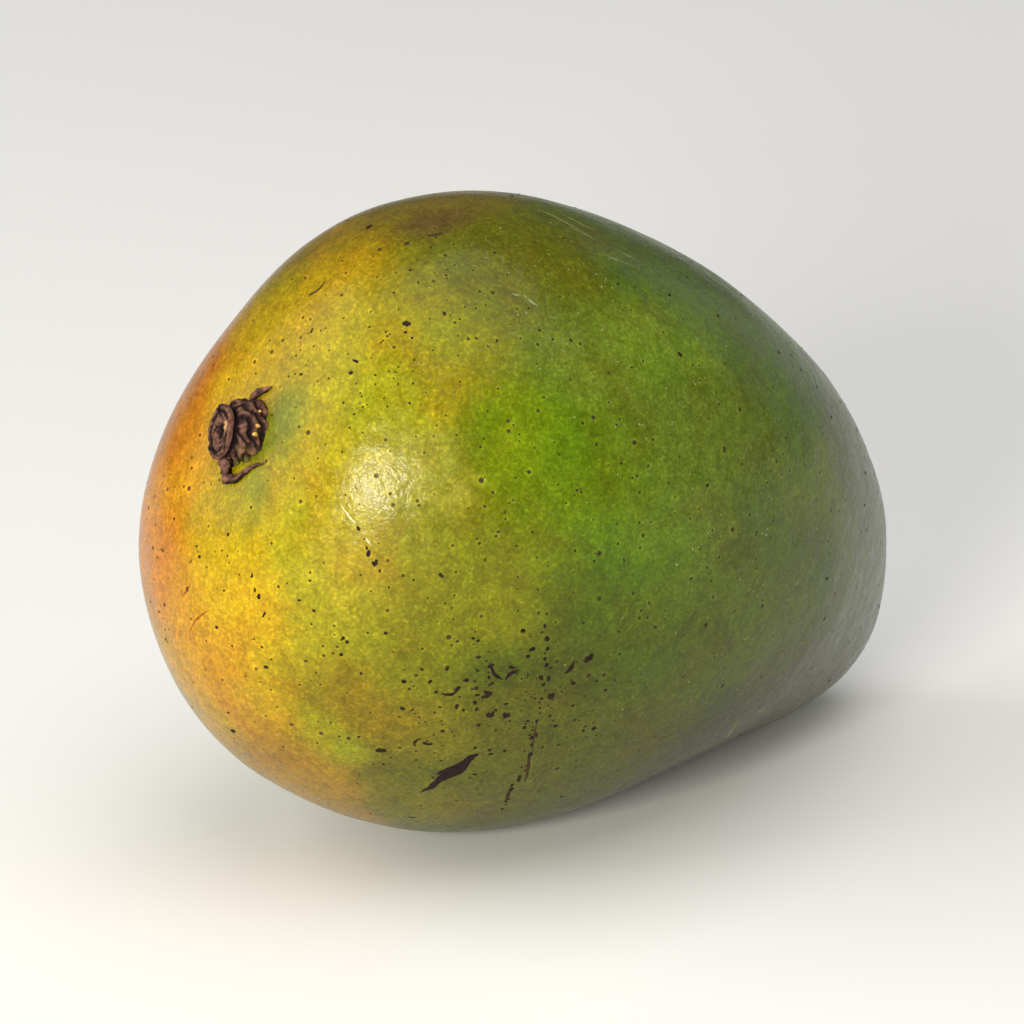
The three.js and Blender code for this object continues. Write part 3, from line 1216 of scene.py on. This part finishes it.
def dry_scales() -> tuple[DryScale, ...]:
    """Lists the scales round the stub's foot.

    Returns:
        The scales: each path's turn, cheek, height above the skin and half width in millimetres.
    """
    long_scale = (
        (178.6, -2.6, 0.5, 0.5),
        (178.4, -3.7, 0.7, 0.7),
        (179.1, -5.2, 0.5, 0.48),
        (180.4, -6.4, 0.35, 0.36),
        (182.0, -7.2, 0.3, 0.32),
        (183.3, -8.6, 0.2, 0.24),
        (184.2, -9.8, 0.08, 0.14),
    )
    upper = (
        (190.4, 1.6, 0.4, 0.5),
        (191.9, 0.8, 0.5, 0.5),
        (193.2, -0.4, 0.35, 0.42),
        (194.4, -1.6, 0.1, 0.2),
    )
    root = (
        (181.6, -1.0, 0.9, 0.8),
        (180.4, -1.9, 0.9, 0.95),
        (179.3, -2.9, 0.7, 0.7),
        (178.6, -3.6, 0.4, 0.4),
    )
    far = (
        (182.4, 4.9, 0.2, 0.4),
        (184.7, 5.4, 0.5, 0.6),
        (187.2, 5.0, 0.2, 0.4),
    )
    return tuple(DryScale(path) for path in (long_scale, upper, root, far))


@dataclass(frozen=True)
class Fold:
    """A wave of folds round the stalk's stub."""

    count: int
    share: float
    phase: float
    turn: float


@dataclass(frozen=True)
class Bark:
    """The bark's folds, rings, ribs and cracks in the stub's own frame, with depths in millimetres."""

    folds: tuple[Fold, ...] = (
        Fold(2, 0.05, 0.4, 0.1),
        Fold(5, 0.055, 1.9, 0.3),
        Fold(9, 0.035, 0.7, -0.4),
        Fold(16, 0.02, 2.6, 0.9),
    )
    rim: float = 2.9
    rim_fade: float = 0.2
    core: float = 2.6
    collar_top: float = 1.75
    ring_height: float = 1.45
    ring_start: float = 0.25
    ring_depth: float = 0.45
    ring_edge: float = 0.45
    ring_tilt: float = 0.35
    tilt_side: float = 0.9
    ring_sway: float = 0.5
    sway_scale: float = 1.4
    crease: float = 0.6
    crease_change: float = 0.4
    shallow_side: float = 0.45
    ribs: float = 5.5
    rib_lean: float = -1.8
    rib_stray: float = 2.2
    stray_scale: float = 2.2
    stray_rise: float = 0.3
    stray_shift: float = 5.0
    rib_depth: float = 0.34
    rib_edge: float = 0.7
    crumb_scale: float = 2.1
    crumb_depth: float = 0.12
    end_start: float = 2.0
    spokes: float = 1.5
    spoke_bend: float = 1.3
    spoke_twist: float = 1.7
    split_width: float = 0.16
    split_reach: float = 1.2
    split_depth: float = 0.22
    end_crumb: float = 0.14
    groove: float = 1.85
    groove_width: float = 0.26
    groove_core: float = 2.0
    dip: float = 2.75
    dip_width: float = 0.3
    hollow: float = 1.1
    shade_between_ribs: float = 0.2
    split_shade: float = 0.8
    dip_shade: float = 0.7
    flat_shade: float = 0.95
    crumb_shade: float = 0.4

    def carve(self, plain: np.ndarray, strength: np.ndarray) -> tuple[np.ndarray, np.ndarray]:
        """Folds and cracks the turned shape.

        Args:
            plain: Points of the turned shape, in millimetres.
            strength: How strongly each is folded.

        Returns:
            The moved points, and each point's relief from 0 in a crack to 1 on a ridge, which sets painted
            shade in the cracks, creases and groove and painted highlight on the ridges.
        """
        x, y, z = plain.T
        angle = np.arctan2(y, x)
        radius = np.hypot(x, y)
        waves = [fold.share * np.cos(fold.count * angle + fold.phase + fold.turn * z) for fold in self.folds]
        factor = 1.0 + strength * sum(waves)
        out = np.stack([np.cos(angle), np.sin(angle), np.zeros_like(angle)], axis=1)
        crumb = smooth_noise(plain * self.crumb_scale)
        side = np.clip((self.rim - z) / self.rim_fade, 0.0, 1.0) * np.clip(radius - self.core, 0.0, 1.0)
        collar = side * (z < self.collar_top)
        ring, rib = self._rings(angle, z, out), self._ribs(angle, z, out)
        depth = collar * (self.ring_depth * (1.0 - ring) + self.rib_depth * (1.0 - rib))
        depth += side * self.crumb_depth * crumb
        bent = np.stack([x * factor, y * factor, z], axis=1) - out * depth[:, None]
        end = (1.0 - side) * (z > self.end_start)
        spoke = np.abs(np.sin(angle * self.spokes + self.spoke_bend * np.sin(radius * self.spoke_twist)))
        split = bump(spoke, 0.0, self.split_width) * np.clip(radius / self.split_reach, 0.0, 1.0)
        bent[:, 2] -= end * (self.split_depth * split + self.end_crumb * crumb)
        # The groove only darkens the relief: painted shade in the groove below the end.
        groove = bump(z, self.groove, self.groove_width) * np.clip(radius - self.groove_core, 0.0, 1.0)
        dip = (bump(radius, self.dip, self.dip_width) + bump(radius, 0.0, self.hollow, 4)) * end
        # Painted shade: the relief is darker in the collar's creases, between its ribs, in the end's splits,
        # in its dip and hollow and in the groove.
        relief = 1.0 - collar * (1.0 - ring * (self.shade_between_ribs + (1.0 - self.shade_between_ribs) * rib))
        relief *= (1.0 - self.split_shade * split * end) * (1.0 - self.dip_shade * dip) * (1.0 - groove)
        relief *= self.flat_shade + self.crumb_shade * crumb
        return bent, np.clip(relief, 0.0, 1.0)

    def _rings(self, angle: np.ndarray, z: np.ndarray, out: np.ndarray) -> np.ndarray:
        """Finds the rings round the collar, which sway and fade on one side.

        Args:
            angle: Each point's angle round the stub, in radians.
            z: Its height in millimetres.
            out: Its unit way out of the stub.

        Returns:
            Values from 0 between two rings to 1 on a ring.
        """
        sway = self.ring_sway * smooth_noise(out * self.sway_scale)
        tilt = self.ring_tilt * np.sin(angle + self.tilt_side)
        step = (self.collar_top - z) / self.ring_height + tilt + sway
        low = self.crease - self.crease_change * np.cos(angle - self.shallow_side)
        crease = 1.0 - np.abs(np.sin(math.pi * step)) ** self.ring_edge
        return 1.0 - low * np.where(step > self.ring_start, crease, 0.0)

    def _ribs(self, angle: np.ndarray, z: np.ndarray, out: np.ndarray) -> np.ndarray:
        """Finds the ribs down the collar, which lean and stray.

        Args:
            angle: Each point's angle round the stub, in radians.
            z: Its height in millimetres.
            out: Its unit way out of the stub.

        Returns:
            Values from 0 between two ribs to 1 on a rib.
        """
        shift = np.stack([np.full(len(z), self.stray_shift), np.zeros(len(z)), z * self.stray_rise], axis=1)
        stray = smooth_noise(out * self.stray_scale + shift)
        wave = np.sin(self.ribs * angle + self.rib_lean * z + self.rib_stray * stray)
        return np.abs(wave) ** self.rib_edge


@dataclass
class StalkStub:
    """The broken stalk: bark collar, groove and end disc, with dry scales at its foot."""

    form: FruitForm
    to_belly: float = 6.0
    to_cheek: float = 15.4
    shrink: float = 0.985
    steps: int = 168
    row: float = 0.14
    profile: tuple[tuple[float, float, float], ...] = (
        (4.9, -4.6, 1.0), (4.8, -1.2, 1.0), (4.65, -0.2, 1.0), (4.4, 0.7, 1.0), (3.95, 1.3, 0.8),
        (3.4, 1.6, 0.5), (3.0, 1.85, 0.3), (3.25, 2.05, 0.3), (3.6, 2.3, 0.4), (3.65, 2.75, 0.4),
        (3.4, 3.0, 0.5), (3.1, 2.96, 0.5), (2.75, 2.62, 0.5), (2.3, 2.88, 0.5), (1.8, 2.85, 0.5),
        (1.35, 2.48, 0.5), (0.0, 2.4, 0.5),
    )
    bark: Bark = Bark()
    fresh_side: float = -2.45
    fresh_width: float = 0.45
    worn_spot: tuple[float, float, float] = (1.3, -1.5, 2.85)
    worn_squash: tuple[float, float, float] = (1.0, 1.0, 0.4)
    worn_radius: float = 0.7
    worn_strength: float = 1.2
    worn_strip: float = -1.7
    strip_width: float = 0.13
    strip_top: float = 1.4
    strip_strength: float = 0.2
    bead_radius: float = 4.85
    bead_sag: tuple[float, float, float] = (1.0, 1.0, 1.4)
    bead_lumps: float = 0.3
    beads: tuple[tuple[float, float, float], ...] = (
        (-65, -0.5, 0.3),
        (-52, -0.6, 0.24),
        (-28, -0.9, 0.17),
        (112, 0.4, 0.25),
    )

    def _frame(self, up: np.ndarray) -> np.ndarray:
        """Makes the axes of a frame that stands on the skin at the stem.

        Args:
            up: The way that its +Z goes, in the fruit's own frame.

        Returns:
            The axes, one a column.
        """
        back = np.array([0.0, -1.0, 0.0]) + up * up[1]
        back /= np.linalg.norm(back)
        return np.stack([back, np.cross(up, back), up], axis=1)

    def _stood(self, points: np.ndarray, up: np.ndarray) -> np.ndarray:
        """Stands points of the stub's frame on the skin at the stem.

        Args:
            points: Points in millimetres, one a row.
            up: The way that their +Z goes, in the fruit's own frame.

        Returns:
            Points in metres in the part's frame.
        """
        middle = self.form.skin(toward(STEM_TURN)[None])[0]
        return self.form.laid(points * self.shrink @ self._frame(up).T + middle)

    @property
    def axis(self) -> np.ndarray:
        """The way that the stub points, in the fruit's own frame."""
        way = np.array([-1.0, math.tan(math.radians(self.to_belly)), math.tan(math.radians(self.to_cheek))])
        return way / np.linalg.norm(way)

    def _rows(self) -> list[tuple[float, float, float]]:
        """Splits the profile into close rows, from the root to the middle of the end.

        Returns:
            Each row's radius, height and strength of folding.
        """
        rows = [(0.0, self.profile[0][1], 1.0)]
        for first, second in zip(self.profile, self.profile[1:]):
            count = max(1, round(math.dist(first[:2], second[:2]) / self.row))
            for i in range(count):
                rows.append(tuple(a + (b - a) * i / count for a, b in zip(first, second)))
        return rows + [self.profile[-1]]

    def build(self) -> bpy.types.Object:
        """Models the collar, groove and disc by spinning the profile, then folds and cracks the bark.

        Returns:
            The stub, which stands for the CAD's stub.
        """
        rows = self._rows()
        shape = bmesh.new()
        line = [shape.verts.new((radius, 0.0, height)) for radius, height, _ in rows]
        edges = [shape.edges.new(pair) for pair in zip(line, line[1:])]
        bmesh.ops.spin(shape, geom=line + edges, axis=(0, 0, 1), cent=(0, 0, 0), angle=2 * math.pi,
                       steps=self.steps, use_merge=True)
        bmesh.ops.remove_doubles(shape, verts=shape.verts, dist=1e-5)
        bmesh.ops.recalc_face_normals(shape, faces=shape.faces)
        plain = np.array([vertex.co[:] for vertex in shape.verts])
        _, heights, strengths = np.array(rows).T
        order = np.argsort(heights)
        strength = np.interp(plain[:, 2], heights[order], strengths[order])
        bent, relief = self.bark.carve(plain, strength)
        move_vertices(shape.verts, self._stood(bent, self.axis))
        piece = mesh_object("Stalk_stub", shape)
        fresh, worn = self._tinted(plain)
        # The relief carries painted shade in the bark's cracks and painted highlight on its ridges.
        for name, values in (("relief", relief), ("fresh", fresh), ("worn", worn)):
            piece.data.attributes.new(name, "FLOAT", "POINT").data.foreach_set("value", values)
        piece.data.materials.append(BarkFinish().material())
        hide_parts("stem_stub")
        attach(piece, "root")
        return piece

    def _tinted(self, plain: np.ndarray) -> tuple[np.ndarray, np.ndarray]:
        """Finds where the bark is still green and where it is rubbed pale.

        Args:
            plain: Points of the turned shape, in millimetres.

        Returns:
            Each point's share of green bark, and its share of rubbed bark.
        """
        angle = np.arctan2(plain[:, 1], plain[:, 0])
        fresh = bump(angle, self.fresh_side, self.fresh_width) * np.clip(1.0 - plain[:, 2], 0.0, 1.0)
        away = np.linalg.norm((plain - np.array(self.worn_spot)) * np.array(self.worn_squash), axis=1)
        strip = bump(angle, self.worn_strip, self.strip_width) * (plain[:, 2] < self.strip_top)
        worn = self.worn_strength * bump(away, 0.0, self.worn_radius, 4) + self.strip_strength * strip
        return fresh, np.clip(worn, 0.0, 1.0)

    def drops(self) -> bpy.types.Object:
        """Models the beads of dried sap on the collar.

        Returns:
            The beads.
        """
        shape = bmesh.new()
        for turn, height, size in self.beads:
            angle = math.radians(turn)
            way = np.array([math.cos(angle), math.sin(angle)]) * self.bead_radius
            spot = self.bark.carve(np.array([[*way, height]]), np.ones(1))[0][0]
            bead = bmesh.ops.create_icosphere(shape, subdivisions=3, radius=1.0)["verts"]
            points = np.array([vertex.co[:] for vertex in bead])
            lumps = 1.0 + self.bead_lumps * smooth_noise(points + np.array([turn, 0.0, 0.0]))
            points = points * lumps[:, None] * size * np.array(self.bead_sag) + spot
            move_vertices(bead, self._stood(points, self.axis))
        sap = SpotFinish("dried sap", (0.42, 0.23, 0.03), (0.74, 0.47, 0.13), 0.28, 0.4)
        return self._dressed("Sap_drops", shape, sap)

    def scales(self) -> bpy.types.Object:
        """Models the dry scales that lie on the skin round the foot of the stub.

        Returns:
            The scales.
        """
        shape = bmesh.new()
        for scale in dry_scales():
            scale.add_to(shape, self.form)
        return self._dressed("Stalk_scales", shape, BarkFinish())

    @staticmethod
    def _dressed(name: str, shape: bmesh.types.BMesh, finish: SpotFinish | BarkFinish) -> bpy.types.Object:
        """Makes a small piece of the stub and gives it its finish.

        Args:
            name: The piece's name.
            shape: Its shape.
            finish: Its finish.

        Returns:
            The piece.
        """
        piece = mesh_object(name, shape)
        piece.data.materials.append(finish.material())
        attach(piece, "root")
        return piece


def way_toward(azimuth: float, elevation: float) -> Vector:
    """Finds the unit vector from the fruit toward an azimuth and elevation in degrees."""
    a, e = math.radians(azimuth), math.radians(elevation)
    return Vector((math.sin(a) * math.cos(e), -math.cos(a) * math.cos(e), math.sin(e)))


@dataclass(frozen=True)
class Softbox:
    """A lamp that faces the fruit: its place round it, its size in metres, its power in watts, its roll."""

    name: str
    azimuth: float
    elevation: float
    distance: float
    width: float
    height: float
    power: float
    colour: Colour
    roll: float = 0.0

    def hang(self, aim: Vector) -> None:
        """Hangs the lamp.

        Args:
            aim: The point that it faces.
        """
        data = bpy.data.lights.new(self.name, "AREA")
        data.shape = "RECTANGLE"
        data.size = self.width
        data.size_y = self.height
        data.energy = self.power
        data.color = self.colour
        lamp = bpy.data.objects.new(self.name, data)
        way = way_toward(self.azimuth, self.elevation)
        lamp.location = aim + way * self.distance
        lamp.rotation_mode = "QUATERNION"
        askew = Quaternion((0.0, 0.0, 1.0), math.radians(self.roll))
        lamp.rotation_quaternion = (-way).to_track_quat("-Z", "Y") @ askew
        bpy.context.scene.collection.objects.link(lamp)


@dataclass
class Studio:
    """The pale floor, the soft lights, the pale surroundings and the camera."""

    aim: Vector
    azimuth: float = -37.4
    elevation: float = 20.4
    distance: float = 0.76
    lens: float = 198.8
    sensor: float = 36.0
    slide_right: float = -0.0005
    slide_up: float = 0.0008
    lit_strength: float = 0.13
    seen_strength: float = 0.95
    floor_radius: float = 1.1
    floor_clouds: Lumps = Lumps(180.0, 2.0)
    floor_tones: tuple[Colour, Colour] = ((0.92, 0.92, 0.91), (0.94, 0.94, 0.93))
    floor_roughness: float = 0.8
    lamps: tuple[Softbox, ...] = (
        Softbox("Key", -55, 17, 1.25, 0.2, 0.4, 14.6, (1.0, 0.95, 0.86), roll=40),
        Softbox("Left_wash", -118, 34, 1.5, 1.4, 1.4, 12, (1.0, 0.98, 0.95)),
        Softbox("Top_wash", 0, 78, 1.6, 1.6, 1.6, 13.6, (1.0, 0.99, 0.97)),
        Softbox("Right_wash", 100, 12, 1.6, 1.0, 1.0, 1.2, (1.0, 1.0, 0.97)),
    )

    def light(self) -> None:
        """Hangs the lights and sets the pale surroundings."""
        for lamp in self.lamps:
            lamp.hang(self.aim)
        world = bpy.data.worlds.new("Pale surroundings")
        world.use_nodes = True
        tree = world.node_tree
        seen = tree.nodes.new("ShaderNodeLightPath").outputs["Is Camera Ray"]
        strength = tree.nodes.new("ShaderNodeMapRange")
        strength.inputs["To Min"].default_value = self.lit_strength
        strength.inputs["To Max"].default_value = self.seen_strength
        tree.links.new(seen, strength.inputs["Value"])
        tree.links.new(strength.outputs[0], tree.nodes["Background"].inputs["Strength"])
        tree.nodes["Background"].inputs["Color"].default_value = (1.0, 1.0, 1.0, 1.0)
        bpy.context.scene.world = world
        bpy.context.scene.view_settings.view_transform = "Standard"

    def floor(self) -> bpy.types.Object:
        """Lays the pale floor.

        Returns:
            The floor.
        """
        shape = bmesh.new()
        bmesh.ops.create_circle(shape, cap_ends=True, segments=96, radius=self.floor_radius)
        floor = mesh_object("Floor", shape)
        graph = Graph("pale floor")
        tone = graph.between(graph.noise(self.floor_clouds), 0.3, 0.7)
        graph.feed(graph.shader.inputs["Base Color"], graph.mixed(tone, *self.floor_tones))
        graph.shader.inputs["Roughness"].default_value = self.floor_roughness
        floor.data.materials.append(graph.material)
        return floor

    def camera(self) -> bpy.types.Object:
        """Sets up the camera at the photograph's viewing angle.

        Returns:
            The camera.
        """
        data = bpy.data.cameras.new("Camera")
        data.sensor_width = self.sensor
        data.lens = self.lens
        data.clip_start = 0.01
        data.clip_end = 50.0
        camera = bpy.data.objects.new("Camera", data)
        back = way_toward(self.azimuth, self.elevation)
        turn = (-back).to_track_quat("-Z", "Y")
        slide = turn @ Vector((self.slide_right, self.slide_up, 0.0))
        camera.rotation_mode = "QUATERNION"
        camera.rotation_quaternion = turn
        camera.location = self.aim + back * self.distance + slide
        bpy.context.scene.collection.objects.link(camera)
        bpy.context.scene.camera = camera
        return camera


def report(piece: bpy.types.Object) -> None:
    """Writes one line about a finished piece to the log."""
    LOG.info("%s: %d vertices, %d faces", piece.name, len(piece.data.vertices), len(piece.data.polygons))


def main() -> None:
    """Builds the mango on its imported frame, then the studio round it."""
    logging.basicConfig(level=logging.INFO, format="%(name)s: %(message)s")
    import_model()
    form = FruitForm()
    report(Fruit(form).build())
    stub = StalkStub(form)
    for piece in (stub.build(), stub.scales(), stub.drops()):
        report(piece)
    for piece in Marks(form).build():
        report(piece)
    studio = Studio(aim=Vector((0.0019, -0.0013, 0.0413)))
    studio.light()
    report(studio.floor())
    studio.camera()


if __name__ == "__main__":
    main()
